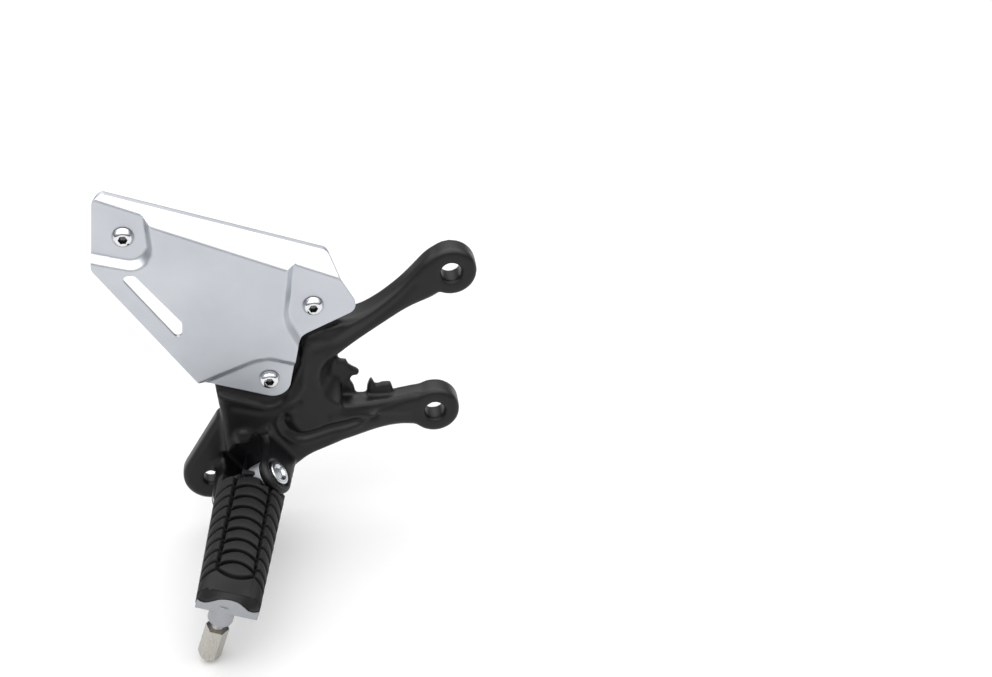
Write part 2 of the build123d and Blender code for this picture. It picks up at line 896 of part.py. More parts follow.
def groove_line(points):
    """Band as wide as a groove, along an arc given as across and distance."""
    shift = groove_width / 2
    with BuildLine() as band:
        root_side = ThreePointArc(*[(across, shift - distance) for across, distance in points])
        tip_side = ThreePointArc(*[(across, -shift - distance) for across, distance in points])
        Line(root_side @ 0, tip_side @ 0)
        Line(root_side @ 1, tip_side @ 1)
    make_face(band.edges())


# Grooves of the tread: two long ones, arches between them and curves out to the sides
with BuildPart() as tread_grooves:
    with BuildSketch(on_peg(Plane.XY.offset(shoulder - groove_depth / 2))):
        for side in (1, -1):
            with Locations((side * long_groove, -(rubber_start + rubber_end) / 2)):
                Rectangle(groove_width, rubber_end - rubber_start + 2)
        for number in range(arch_count):
            crown = arch_first + number * arch_pitch
            foot = crown + arch_rise
            edge = foot + side_rise
            groove_line([(-long_groove, foot), (0, crown), (long_groove, foot)])
            for side in (1, -1):
                groove_line(
                    [
                        (side * long_groove, foot),
                        (side * (long_groove + 4.5), foot + side_rise * 0.35),
                        (side * (rubber_half_root + 1), edge),
                    ]
                )
    extrude(amount=2 * rubber_top)
    loft(
        [rubber_section(rubber_start - 1, groove_depth), rubber_section(rubber_end + 1, groove_depth)],
        mode=Mode.SUBTRACT,
    )

crease_sag = end_radius - sqrt(end_radius**2 - rubber_half_root**2)

# Part cut away beyond the curved crease at the tip, down a slope to the end wall
with BuildPart() as tip_cut:
    with BuildSketch(on_peg(Plane.XY.offset(rubber_top))):
        with BuildLine():
            crease = ThreePointArc(
                (-rubber_half_root, crease_sag - rubber_crease),
                (0, -rubber_crease),
                (rubber_half_root, crease_sag - rubber_crease),
            )
            Polyline(
                crease @ 0,
                (-rubber_half_root, -rubber_end - rubber_crease),
                (rubber_half_root, -rubber_end - rubber_crease),
                crease @ 1,
            )
        make_face()
    extrude(amount=rubber_end, dir=outward - peg_frame.z_dir * end_slope, both=True)

with BuildPart() as peg_rubber:
    loft([rubber_section(rubber_start), rubber_section(rubber_end)])
    add(tread_grooves.part, mode=Mode.SUBTRACT)
    add(tip_cut.part, mode=Mode.SUBTRACT)
    # Room for the ears and the pocket
    for side in (1, -1):
        with BuildSketch(on_pin(Plane.YZ.offset(side * (clevis_gap / 2 - ear_clearance)))):
            with Locations((deep / 2 - tread_swing, 0)):
                Rectangle(deep, deep)
        extrude(amount=side * deep, mode=Mode.SUBTRACT)
    add(peg_blank.part, mode=Mode.SUBTRACT)
    # Recess of the steel strip
    with BuildSketch(on_peg(Plane.XY.offset(core_top))):
        with Locations((0, -sum(insert_ends) / 2)):
            Rectangle(2 * insert_half, insert_ends[1] - insert_ends[0])
    extrude(amount=insert_thick, mode=Mode.SUBTRACT)
peg_rubber.part.label = "peg_rubber"
export_step(peg_rubber.part, "parts/peg_rubber.step")

with BuildPart() as rubber_insert:
    with BuildSketch(on_peg(Plane.XY.offset(core_top))):
        with Locations((0, -sum(insert_ends) / 2)):
            Rectangle(2 * insert_half, insert_ends[1] - insert_ends[0])
        with Locations(*[(0, -place) for place in rubber_screw_places]):
            Circle(rubber_screw_dia / 2, mode=Mode.SUBTRACT)
    extrude(amount=insert_thick)
rubber_insert.part.label = "rubber_insert"
export_step(rubber_insert.part, "parts/rubber_insert.step")

for name, place in zip(("inner", "outer"), rubber_screw_places):
    with BuildPart() as rubber_screw:
        turned(
            tread_axis(0, place),
            [
                (0, core_bottom, 0),
                (rubber_screw_head_dia / 2, core_bottom, 0.6),
                (rubber_screw_head_dia / 2, core_bottom + rubber_screw_head, 0),
                (rubber_screw_dia / 2, core_bottom + rubber_screw_head, 0),
                (rubber_screw_dia / 2, insert_top, 0),
                (0, insert_top, 0),
            ],
        )
        with BuildSketch(on_peg(Plane.XY.offset(core_bottom))):
            with Locations((0, -place)):
                Rectangle(4.4, 1.2)
                Rectangle(1.2, 4.4)
        extrude(amount=1.6, mode=Mode.SUBTRACT)
    rubber_screw.part.label = f"rubber_screw_{name}"
    export_step(rubber_screw.part, f"parts/rubber_screw_{name}.step")

# Feeler bolt
feeler_head_top = feeler_boss_bottom - feeler_neck
feeler_end = feeler_head_top - feeler_length
with BuildPart() as feeler_bolt:
    turned(
        feeler_axis,
        [
            (0, feeler_end, 0),
            (feeler_across / 2 - 1.5, feeler_end, 1.5),
            (feeler_across / 2 + 1.0, feeler_end + feeler_dome, 1.5),
            (feeler_across / 2 + 1.0, feeler_head_top, 0.5),
            (0, feeler_head_top, 0),
        ],
    )
    feeler_cross = Plane(origin=feeler_axis.origin, x_dir=feeler_axis.x_dir, z_dir=feeler_axis.y_dir)
    with BuildSketch(feeler_cross.offset(feeler_end - 1)):
        RegularPolygon(feeler_across / 2, 6, major_radius=False)
    extrude(amount=feeler_length + 2, mode=Mode.INTERSECT)
    with BuildSketch(feeler_cross.offset(feeler_head_top)):
        Circle(feeler_thread / 2)
    extrude(amount=feeler_neck + feeler_thread_hold)
feeler_bolt.part.label = "feeler_bolt"
export_step(feeler_bolt.part, "parts/feeler_bolt.step")
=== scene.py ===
import math

import bmesh
import bpy
from bpy.props import FloatProperty, FloatVectorProperty, PointerProperty
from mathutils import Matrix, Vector


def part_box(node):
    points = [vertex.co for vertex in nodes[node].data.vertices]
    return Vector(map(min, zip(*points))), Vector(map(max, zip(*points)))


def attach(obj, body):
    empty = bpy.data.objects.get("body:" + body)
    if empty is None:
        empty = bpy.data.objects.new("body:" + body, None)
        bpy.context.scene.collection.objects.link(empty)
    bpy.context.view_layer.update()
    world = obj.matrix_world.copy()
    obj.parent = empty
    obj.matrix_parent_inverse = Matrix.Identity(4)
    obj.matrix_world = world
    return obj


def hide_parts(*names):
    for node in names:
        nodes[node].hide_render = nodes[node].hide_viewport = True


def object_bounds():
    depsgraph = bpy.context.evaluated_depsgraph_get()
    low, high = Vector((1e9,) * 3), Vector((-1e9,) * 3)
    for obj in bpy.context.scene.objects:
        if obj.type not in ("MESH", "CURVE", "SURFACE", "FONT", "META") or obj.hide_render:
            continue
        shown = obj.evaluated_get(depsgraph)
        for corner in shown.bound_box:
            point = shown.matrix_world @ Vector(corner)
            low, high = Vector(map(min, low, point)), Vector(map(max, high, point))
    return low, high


bl_info = {
    "name": "Motorcycle footrest bracket",
    "version": (1, 0, 0),
    "blender": (4, 5, 0),
    "location": "3D View > Sidebar > Footrest",
    "description": "Dresses the footrest bracket: its finishes, threads, studio and camera",
    "category": "Object",
}

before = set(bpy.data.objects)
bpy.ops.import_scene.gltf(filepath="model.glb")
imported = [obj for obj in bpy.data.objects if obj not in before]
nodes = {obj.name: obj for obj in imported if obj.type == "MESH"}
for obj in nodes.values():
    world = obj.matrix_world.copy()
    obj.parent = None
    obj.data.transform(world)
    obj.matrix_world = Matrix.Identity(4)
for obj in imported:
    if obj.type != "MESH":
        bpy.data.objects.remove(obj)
cad_low, cad_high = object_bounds()

MM = 0.001
BLACK = (0, 0, 0, 1)
WHITE = (1, 1, 1, 1)
# Screws of the heel plate, named by their place on it
PLACES = ("rear", "front", "lower")
# Frames of the peg and its hinge: where the peg starts and how it and the pin are turned
PEG_ROOT = Vector((-106.0, -34.0, -103.7)) * MM
PEG_SWEEP = math.radians(8.5)
PEG_DROOP = math.radians(2.5)
PEG_ROLL = math.radians(15.0)
PIN_TILT = math.radians(35.0)
PIN_AHEAD = 3.0
PIN_DROP = 1.0
OUT = Vector(
    (
        -math.sin(PEG_SWEEP) * math.cos(PEG_DROOP),
        -math.cos(PEG_SWEEP) * math.cos(PEG_DROOP),
        -math.sin(PEG_DROOP),
    )
)


def square_to_peg(vector):
    """The vector with its share along the peg taken away, made one long."""
    return (vector - OUT * vector.dot(OUT)).normalized()


ACROSS = square_to_peg(Vector((math.cos(PEG_ROLL), 0, -math.sin(PEG_ROLL))))
TREAD_UP = OUT.cross(ACROSS)
PIN_ALONG = square_to_peg(Vector((math.cos(PIN_TILT), 0, math.sin(PIN_TILT))))
PIN_UP = OUT.cross(PIN_ALONG)
PIN_CENTRE = PEG_ROOT + OUT * PIN_AHEAD * MM - PIN_UP * PIN_DROP * MM

# Tread of the peg's rubber, in millimetres: its section, its ends, the wall's top under it and its grooves
TREAD_START = 5.5
TREAD_END = 88.0
TREAD_HALF_ROOT = 17.4
TREAD_HALF_TIP = 15.2
TREAD_TOP = 12.0
TREAD_FOOT = -4.0
TREAD_FLAT = 8.4
TREAD_CURVE = (14.4, 10.0)
TREAD_SHOULDER = 3.0
TREAD_CORE = (11.5, 6.2)
TREAD_END_DROP = 5.2
TREAD_TIP_SIDE = 2.2
TREAD_CROWN = 0.35
TREAD_ROWS = 280
WALL_TOP = ((-14.9, 2.0), (-10.43, 0.8), (-5.51, 3.8), (0.0, 5.4), (5.51, 4.2), (10.43, 0.8), (14.9, 2.0))
TONGUE_REACH = 3.45
TONGUE_SKIN = 0.35
CORE_COVER = 0.4
# Rooms cut from the rubber for the ears and the spring: along the pin from, to, and reach to the tip
HINGE_ROOMS = ((11.3, 41.3, 11.4), (-41.3, -11.3, 11.4), (-4.9, 4.9, 8.2))
LONG_GROOVE = 9.1
ARCHES = 9
ARCH_PITCH = 7.95
ARCH_FIRST = 8.2
ARCH_RISE = 5.2
SIDE_RISE = 4.5
CREASE = 81.5
CREASE_SAG = 3.3
GROOVE_HALF = 1.25
GROOVE_DEPTH = 2.0
LONG_GROOVE_HALF = 1.45
LONG_GROOVE_DEPTH = 2.2

# Soft forms that the casting's solid lacks: rise, half width and a line of x and z, in millimetres
CAST_FORMS = (
    # Groove and rim of the recess in the lower arm
    (
        -2.0,
        1.8,
        (
            (-87.3, -75.2),
            (-88.3, -79.0),
            (-85.9, -84.2),
            (-81.3, -87.6),
            (-77.4, -88.0),
            (-70.0, -85.8),
            (-62.0, -83.2),
            (-52.0, -81.6),
            (-41.0, -81.2),
        ),
    ),
    (
        0.6,
        1.3,
        (
            (-83.5, -71.2),
            (-89.2, -74.1),
            (-91.6, -79.2),
            (-90.0, -84.6),
            (-85.0, -90.2),
            (-79.9, -92.2),
            (-72.6, -90.4),
            (-63.8, -87.5),
            (-49.5, -84.3),
        ),
    ),
    (0.5, 1.4, ((-83.0, -77.5), (-80.5, -82.0), (-76.5, -84.6), (-70.0, -82.6))),
    # Ridge over the clevis and down its front cheek
    (1.4, 1.7, ((-118.5, -95.3), (-115.7, -90.1), (-110.7, -86.9), (-104.7, -86.1), (-96.8, -82.0))),
    (1.0, 1.7, ((-96.8, -81.5), (-94.1, -87.9), (-89.8, -96.3), (-85.8, -103.3))),
    # Lip along the heel plate with a channel outside it
    (
        0.7,
        1.3,
        (
            (-120.0, -60.3),
            (-110.3, -63.2),
            (-98.9, -66.9),
            (-90.2, -67.0),
            (-81.6, -63.4),
            (-77.2, -57.2),
            (-75.4, -44.0),
        ),
    ),
    (-0.7, 1.6, ((-112.0, -67.2), (-98.9, -71.2), (-89.2, -71.0), (-80.0, -66.8))),
    # Lower arm: raised upper edge, hollow face and middle rib
    (0.7, 1.5, ((-58.0, -71.0), (-35.6, -72.6), (-23.6, -70.2), (-14.8, -69.2))),
    (-0.9, 1.9, ((-56.0, -74.6), (-38.5, -76.0), (-26.5, -74.6), (-19.5, -73.0))),
    (0.5, 1.5, ((-63.2, -77.6), (-49.1, -78.3), (-35.0, -79.5), (-24.0, -82.0))),
    # Upper arm: raised upper edge and a channel under it
    (
        0.8,
        1.6,
        ((-72.0, -31.0), (-61.8, -29.4), (-46.6, -20.0), (-30.5, -9.2), (-21.9, -0.4), (-14.5, 6.6)),
    ),
    (-0.8, 1.8, ((-70.5, -36.2), (-57.5, -32.6), (-43.0, -24.6), (-27.0, -13.6), (-18.6, -5.0))),
)
# Outline of the plain recess, closed before the soft one is pressed, and the levels it is closed between
CAST_FILL = (
    (-91.4, -72.6),
    (-82.2, -72.2),
    (-74.6, -83.0),
    (-60.0, -81.0),
    (-38.4, -78.6),
    (-59.8, -88.8),
    (-72.0, -91.0),
    (-82.4, -92.8),
    (-93.2, -80.2),
)
CAST_FILL_LEVELS = (-18.9, -13.0)
CAST_GRID = 0.8
CAST_SMOOTHINGS = 5
# The soft forms lie on what looks outboard and stands out past this level
CAST_FACING = -0.3
CAST_FACE = -8.0

# Feeler bolt: its place on the peg, across and along, and its lean
FEELER_PLACE = (-1.5, 86.0)
FEELER_LEAN = math.radians(2.0)
FEELER_TOP = -18.5
FEELER_NECK = 5.5


def linear(hex_colour):
    """Linear RGBA of an sRGB hex colour."""
    parts = [int(hex_colour[i : i + 2], 16) / 255 for i in (1, 3, 5)]
    return [c / 12.92 if c <= 0.04045 else ((c + 0.055) / 1.055) ** 2.4 for c in parts] + [1.0]


def add_node(tree, kind, settings=None, **links):
    """Adds a node; a link's value is another node's output or a plain value for that input."""
    node = tree.nodes.new(kind)
    for key, value in (settings or {}).items():
        setattr(node, key, value)
    for name, value in links.items():
        socket = node.inputs[int(name[1:])] if name[1:].isdigit() else node.inputs[name.replace("_", " ")]
        if isinstance(value, bpy.types.NodeSocket):
            tree.links.new(value, socket)
        else:
            socket.default_value = value
    return node


def new_material(name, colour, metallic, roughness, **shader):
    """Material with one Principled shader; returns it, its tree, the shader and object coordinates."""
    material = bpy.data.materials.new(name)
    material.use_nodes = True
    tree = material.node_tree
    tree.nodes.clear()
    principled = add_node(tree, "ShaderNodeBsdfPrincipled")
    principled.inputs["Base Color"].default_value = colour
    principled.inputs["Metallic"].default_value = metallic
    principled.inputs["Roughness"].default_value = roughness
    for key, value in shader.items():
        principled.inputs[key.replace("_", " ")].default_value = value
    output = add_node(tree, "ShaderNodeOutputMaterial")
    tree.links.new(principled.outputs[0], output.inputs[0])
    place = add_node(tree, "ShaderNodeTexCoord").outputs["Object"]
    return material, tree, principled, place


def grain(tree, place, size_mm, detail=2.0, stretch=(1, 1, 1)):
    """Noise whose grains are about size_mm wide, stretched along axes where stretch is under one."""
    scale = [s / (size_mm * MM) for s in stretch]
    mapping = add_node(tree, "ShaderNodeMapping", Vector=place, Scale=scale)
    noise = add_node(tree, "ShaderNodeTexNoise", Vector=mapping.outputs[0], Scale=1.0, Detail=detail)
    return noise.outputs[0]


def ramp(tree, value, low, high, dark, light):
    """Blends between two colours as the value goes from low to high."""
    node = add_node(tree, "ShaderNodeValToRGB", Fac=value)
    node.color_ramp.elements[0].position = low
    node.color_ramp.elements[1].position = high
    node.color_ramp.elements[0].color = dark
    node.color_ramp.elements[1].color = light
    return node.outputs[0]


def spread(tree, value, low, high):
    """Maps a value from 0 to 1 onto the range low to high."""
    return add_node(tree, "ShaderNodeMapRange", Value=value, To_Min=low, To_Max=high).outputs[0]


def rounded_bump(tree, principled, height, strength, distance_mm, edge_mm):
    """Bump from a height over edges rounded by edge_mm, put on the shader."""
    edge = add_node(tree, "ShaderNodeBevel", {"samples": 6}, Radius=edge_mm * MM)
    bump = add_node(
        tree,
        "ShaderNodeBump",
        Height=height,
        Strength=strength,
        Distance=distance_mm * MM,
        Normal=edge.outputs[0],
    )
    tree.links.new(bump.outputs[0], principled.inputs["Normal"])


def powder_coated_casting(look):
    # Die cast aluminium under a satin black powder coat: a fine even pebble, softly lit edges
    material, tree, shader, place = new_material(
        "powder_coated_casting", look.casting, 0.0, 0.4, Specular_IOR_Level=0.31
    )
    pebble = grain(tree, place, 0.9, 3.0)
    cloud = grain(tree, place, 22.0, 2.0)
    tone = ramp(tree, cloud, 0.3, 0.75, look.casting, linear("#100f12"))
    tree.links.new(tone, shader.inputs["Base Color"])
    tree.links.new(spread(tree, pebble, 0.3, 0.44), shader.inputs["Roughness"])
    rounded_bump(tree, shader, pebble, 0.1, 0.3, 2.2)
    return material


def anodised_sheet(look):
    # Pressed aluminium sheet, satin anodised: fine rolling grain and a soft broad gloss
    material, tree, shader, place = new_material("anodised_sheet", look.plate, 1.0, 0.38)
    rolled = grain(tree, place, 0.35, 2.0, (0.04, 1, 1))
    cloud = grain(tree, place, 30.0, 3.0)
    tree.links.new(ramp(tree, cloud, 0.25, 0.8, linear("#bcc0c6"), look.plate), shader.inputs["Base Color"])
    tree.links.new(spread(tree, rolled, 0.34, 0.46), shader.inputs["Roughness"])
    rounded_bump(tree, shader, rolled, 0.05, 0.1, 0.5)
    return material


def tumbled_aluminium(look):
    # Bare cast aluminium, tumbled: pale grey with a few small pits, and painted shade darkening its
    # recesses and hollows
    material, tree, shader, place = new_material("tumbled_aluminium", look.peg, 1.0, 0.5)
    pits = grain(tree, place, 0.7, 4.0)
    tone = ramp(tree, pits, 0.26, 0.4, linear("#8f9297"), look.peg)
    # Painted shade: ambient occlusion blends the base colour towards dark grey in recesses and under nearby
    # parts
    recess_shade = add_node(tree, "ShaderNodeAmbientOcclusion", {"samples": 8}, Distance=10.0 * MM).outputs["AO"]
    unshaded_share = ramp(tree, recess_shade, 0.3, 0.8, BLACK, WHITE)
    painted_shade_mix = add_node(tree, "ShaderNodeMix", {"data_type": "RGBA"}, _0=unshaded_share)
    painted_shade_mix.inputs[6].default_value = linear("#4c4d50")
    tree.links.new(tone, painted_shade_mix.inputs[7])
    tree.links.new(painted_shade_mix.outputs[2], shader.inputs["Base Color"])
    tree.links.new(spread(tree, pits, 0.58, 0.42), shader.inputs["Roughness"])
    rounded_bump(tree, shader, pits, 0.2, 0.2, 0.6)
    return material


def moulded_rubber(look):
    # Moulded rubber: near black, soft sheen, a faint mould texture, and painted shade in its grooves
    material, tree, shader, place = new_material(
        "moulded_rubber", look.rubber, 0.0, 0.55
    )
    skin = grain(tree, place, 0.5, 3.0)
    cloud = grain(tree, place, 14.0, 2.0)
    tone = ramp(tree, cloud, 0.3, 0.7, look.rubber, linear("#111112"))
    # Painted shade: ambient occlusion darkens the colour and dims the gloss in the grooves and recesses
    recess_shade = add_node(tree, "ShaderNodeAmbientOcclusion", {"samples": 8}, Color=tone, Distance=2.5 * MM)
    tree.links.new(recess_shade.outputs["Color"], shader.inputs["Base Color"])
    tree.links.new(spread(tree, recess_shade.outputs["AO"], -0.1, 0.3), shader.inputs["Specular IOR Level"])
    tree.links.new(spread(tree, skin, 0.55, 0.7), shader.inputs["Roughness"])
    rounded_bump(tree, shader, skin, 0.15, 0.15, 0.45)
    return material


def polished_stainless(look):
    # Polished stainless steel: mirror bright with the faintest haze, and painted shade darkening its
    # sockets
    material, tree, shader, place = new_material("polished_stainless", look.steel, 1.0, 0.1)
    haze = grain(tree, place, 2.0, 2.0)
    # Painted shade: ambient occlusion turns the colour dark grey in the hex sockets and other recesses
    recess_shade = add_node(tree, "ShaderNodeAmbientOcclusion", {"samples": 8}, Distance=3.0 * MM).outputs["AO"]
    tone = ramp(tree, recess_shade, 0.55, 0.9, linear("#2c2c2e"), look.steel)
    tree.links.new(tone, shader.inputs["Base Color"])
    tree.links.new(spread(tree, haze, 0.06, 0.14), shader.inputs["Roughness"])
    rounded_bump(tree, shader, haze, 0.02, 0.1, 0.25)
    return material


def bright_zinc(look):
    # Steel, zinc plated and blue passivated: bright, faintly blue, with fine turning marks
    material, tree, shader, place = new_material("bright_zinc", look.zinc, 1.0, 0.25)
    marks = grain(tree, place, 0.6, 3.0)
    tree.links.new(ramp(tree, marks, 0.2, 0.8, linear("#b9bfc7"), look.zinc), shader.inputs["Base Color"])
    tree.links.new(spread(tree, marks, 0.18, 0.34), shader.inputs["Roughness"])
    rounded_bump(tree, shader, marks, 0.06, 0.1, 0.25)
    return material


def nickel_plate(look):
    # Turned and milled steel, nickel plated: warm silver with faint tool lines
    material, tree, shader, place = new_material("nickel_plate", look.feeler, 1.0, 0.28)
    lines = grain(tree, place, 0.3, 2.0, (1, 1, 0.15))
    tone = ramp(tree, lines, 0.25, 0.8, linear("#a5a29b"), look.feeler)
    tree.links.new(tone, shader.inputs["Base Color"])
    tree.links.new(spread(tree, lines, 0.22, 0.36), shader.inputs["Roughness"])
    rounded_bump(tree, shader, lines, 0.05, 0.1, 0.2)
    return material


def oiled_spring_steel(look):
    # Hard drawn spring wire, dark with oil
    material, tree, shader, place = new_material("oiled_spring_steel", look.spring, 1.0, 0.35)
    drawn = grain(tree, place, 0.5, 2.0)
    tree.links.new(spread(tree, drawn, 0.28, 0.45), shader.inputs["Roughness"])
    rounded_bump(tree, shader, drawn, 0.05, 0.1, 0.1)
    return material


def dress(material, *names):
    """Puts one material on CAD nodes."""
    for name in names:
        slots = nodes[name].data.materials
        slots.clear()
        slots.append(material)


def on_peg(across, distance, height):
    """Point of the peg's frame, given in millimetres."""
    return PEG_ROOT + (ACROSS * across + OUT * distance + TREAD_UP * height) * MM


def put_object(name, bm):
    """Object from a bmesh, which is freed."""
    mesh = bpy.data.meshes.new(name)
    bm.to_mesh(mesh)
    bm.free()
    thing = bpy.data.objects.new(name, mesh)
    bpy.context.scene.collection.objects.link(thing)
    return thing


def put_piece(name, bm, material, body):
    """Object from a bmesh, dressed and riding on a body."""
    piece = put_object(name, bm)
    piece.data.materials.append(material)
    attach(piece, body)
    return piece


def modified(thing, kind, **settings):
    """Mesh of an object as one modifier leaves it."""
    modifier = thing.modifiers.new(kind, kind)
    for key, value in settings.items():
        setattr(modifier, key, value)
    mesh = bpy.data.meshes.new_from_object(thing.evaluated_get(bpy.context.evaluated_depsgraph_get()))
    thing.modifiers.clear()
    return mesh


def line_gap(x, z, line):
    """Distance of a point from a line of points."""
    best = math.inf
    for (ax, az), (bx, bz) in zip(line, line[1:]):
        ux, uz = bx - ax, bz - az
        share = min(1.0, max(0.0, ((x - ax) * ux + (z - az) * uz) / (ux * ux + uz * uz)))
        best = min(best, math.hypot(x - ax - share * ux, z - az - share * uz))
    return best


def soften(bm):
    """Moves each vertex half way to the middle of its neighbours."""
    every_way = {f"use_axis_{axis}": True for axis in "xyz"}
    bmesh.ops.smooth_vert(bm, verts=bm.verts, factor=0.5, **every_way)


def soft_casting(material):
    """The casting with the soft blends and hollows of its pattern, in place of the plain solid."""
    bm = bmesh.new()
    bm.from_mesh(nodes["bracket_casting"].data)
    front, back = CAST_FILL_LEVELS
    rings = [[bm.verts.new(Vector((x, y, z)) * MM) for x, z in CAST_FILL] for y in (front, back)]
    fill = [bm.faces.new(rings[0]), bm.faces.new(list(reversed(rings[1])))]
    for k, vert in enumerate(rings[0]):
        nearby = (k + 1) % len(CAST_FILL)
        fill.append(bm.faces.new((vert, rings[1][k], rings[1][nearby], rings[0][nearby])))
    bmesh.ops.recalc_face_normals(bm, faces=fill)
    rough = put_object("rough_casting", bm)
    mesh = modified(rough, "REMESH", mode="VOXEL", voxel_size=CAST_GRID * MM)
    bpy.data.objects.remove(rough)

    bm = bmesh.new()
    bm.from_mesh(mesh)
    for _ in range(CAST_SMOOTHINGS):
        soften(bm)
    bm.normal_update()
    for vert in bm.verts:
        x, y, z = vert.co / MM
        if vert.normal.y < CAST_FACING and y < CAST_FACE:
            rise = 0.0
            for height, half, line in CAST_FORMS:
                rise += height * math.exp(-((line_gap(x, z, line) / half) ** 2))
            vert.co.y += rise * vert.normal.y * MM
    soften(bm)
    for face in bm.faces:
        face.smooth = True
    casting = put_piece("soft_casting", bm, material, "bracket")
    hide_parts("bracket_casting")


def thread(name, start, along, size, depth, material, body):
    """Ridge of a screw thread on a shank; size is its radius, length and pitch, and its ends fade out."""
    radius, length, pitch = size
    steps_per_turn = 32
    steps = max(8, round(length / pitch * steps_per_turn))
    turn = along.to_track_quat("Z", "X")
    bm = bmesh.new()
    rows = []
    for step in range(steps + 1):
        angle = 2 * math.pi * step / steps_per_turn
        height = pitch * 0.4 + (length - pitch * 0.8) * step / steps
        fade = min(1.0, step / 6, (steps - step) / 6)
        row = []
        for rise, shift in ((-0.02, -0.42), (depth * fade, -0.06), (depth * fade, 0.06), (-0.02, 0.42)):
            reach = radius + rise
            rise_to = height + shift * pitch * fade
            ridge = Vector((reach * math.cos(angle), reach * math.sin(angle), rise_to))
            row.append(bm.verts.new(start + turn @ ridge * MM))
        rows.append(row)
    for before, after in zip(rows, rows[1:]):
        for k in range(3):
            bm.faces.new((before[k], after[k], after[k + 1], before[k + 1])).smooth = True
    bmesh.ops.recalc_face_normals(bm, faces=bm.faces)
    put_piece(name, bm, material, body)


def tread_half(distance):
    """Half of the rubber's width, which narrows towards the tip."""
    share = (distance - TREAD_START) / (TREAD_END - TREAD_START)
    return TREAD_HALF_ROOT + (TREAD_HALF_TIP - TREAD_HALF_ROOT) * share


def crease_at(across):
    """Distance along the peg, at a place across it, where the tread ends and the sloped tip begins."""
    reach = abs(across) / LONG_GROOVE
    if reach < 1:
        return CREASE - CREASE_SAG * reach**2
    return CREASE - CREASE_SAG + 5.5 * (reach - 1) ** 1.3


def valley(gap, half, depth):
    """Depth of a smooth groove at a gap from its middle, with the crown of the blocks beside it."""
    crown = TREAD_CROWN * max(0.0, 1 - gap / (3 * half)) ** 2
    if gap >= half:
        return crown
    return crown + depth * (1 - (gap / half) ** 2) ** 1.5


def groove_at(across, distance):
    """Depth of the grooves at a point of the tread."""
    crease_gap = distance - crease_at(across)
    cut = valley(abs(crease_gap), GROOVE_HALF, GROOVE_DEPTH)
    if crease_gap > 0:
        return cut
    reach = abs(across) / LONG_GROOVE
    bow = ARCH_RISE * reach**2
    steep = 2 * ARCH_RISE * reach / LONG_GROOVE
    if reach > 1:
        share = (abs(across) - LONG_GROOVE) / (TREAD_HALF_ROOT - LONG_GROOVE)
        bow = ARCH_RISE + ARCH_PITCH / 2 + SIDE_RISE * share**2
        steep = 2 * SIDE_RISE * share / (TREAD_HALF_ROOT - LONG_GROOVE)
    number = min(ARCHES - 1, max(0, round((distance - ARCH_FIRST - bow) / ARCH_PITCH)))
    gap = abs(distance - ARCH_FIRST - bow - number * ARCH_PITCH) / math.hypot(1, steep)
    cut = max(cut, valley(gap, GROOVE_HALF, GROOVE_DEPTH))
    return max(cut, valley(abs(abs(across) - LONG_GROOVE), LONG_GROOVE_HALF, LONG_GROOVE_DEPTH))


def tread_section(distance):
    """Half of the outer section, from the middle of the top to the foot, as across and height."""
    half = tread_half(distance)
    points = [(TREAD_FLAT * k / 30, TREAD_TOP) for k in range(30)]
    for k in range(44):
        f = k / 44
        points.append(
            (
                (1 - f) ** 2 * TREAD_FLAT + 2 * f * (1 - f) * TREAD_CURVE[0] + f**2 * half,
                (1 - f) ** 2 * TREAD_TOP + 2 * f * (1 - f) * TREAD_CURVE[1] + f**2 * TREAD_SHOULDER,
            )
        )
    return points + [(half, TREAD_SHOULDER + (TREAD_FOOT - TREAD_SHOULDER) * k / 12) for k in range(13)]


def height_on(line, x):
    """Height at x of a line of across and height, rounded at its points."""
    for k in range(len(line) - 1):
        (ax, az), (bx, bz) = line[k], line[k + 1]
        if ax <= x <= bx:
            before = line[max(0, k - 1)]
            after = line[min(len(line) - 1, k + 2)]
            rise_a = (bz - before[1]) / (bx - before[0]) * (bx - ax)
            rise_b = (after[1] - az) / (after[0] - ax) * (bx - ax)
            f = (x - ax) / (bx - ax)
            start = (2 * f**3 - 3 * f**2 + 1) * az + (f**3 - 2 * f**2 + f) * rise_a
            return start + (3 * f**2 - 2 * f**3) * bz + (f**3 - f**2) * rise_b
    return line[0][1] if x < line[0][0] else line[-1][1]


def tip_tongue(bm):
    """Adds the end of the rubber that lies on the peg's end wall, down to the wall's curved edge."""
    side = [(x, z) for x, z in tread_section(TREAD_END) if z > TREAD_SHOULDER]
    sunk = [(x, z - (z - TREAD_TIP_SIDE) / (TREAD_TOP - TREAD_TIP_SIDE) * TREAD_END_DROP) for x, z in side]
    tip = [(-x, z) for x, z in reversed(sunk[1:])] + sunk
    reach = WALL_TOP[-1][0]
    columns = []
    for k in range(61):
        x = reach * (k / 30 - 1) * 0.995
        low = height_on(WALL_TOP, x)
        high = max(height_on(tip, x), low + TONGUE_SKIN)
        if abs(x) < TREAD_CORE[0] + CORE_COVER:
            high = max(high, TREAD_CORE[1] + CORE_COVER)
        upper = []
        for step in range(9):
            f = step / 8
            height = high + (low + TONGUE_SKIN - high) * math.sin(f * math.pi / 2) ** 1.4
            upper.append(bm.verts.new(on_peg(x, TREAD_END - 0.4 + (TONGUE_REACH + 0.4) * f, height)))
        lower = [bm.verts.new(on_peg(x, TREAD_END + d, low - 0.05)) for d in (TONGUE_REACH, -0.4)]
        columns.append(upper + lower)
    size = len(columns[0])
    for before, after in zip(columns, columns[1:]):
        for k in range(size):
            face = bm.faces.new((before[k], before[(k + 1) % size], after[(k + 1) % size], after[k]))
            face.smooth = k < size - 3
    bm.faces.new(reversed(columns[0]))
    bm.faces.new(columns[-1])
    fresh = {vert for column in columns for vert in column}
    bmesh.ops.recalc_face_normals(bm, faces=[face for face in bm.faces if face.verts[0] in fresh])


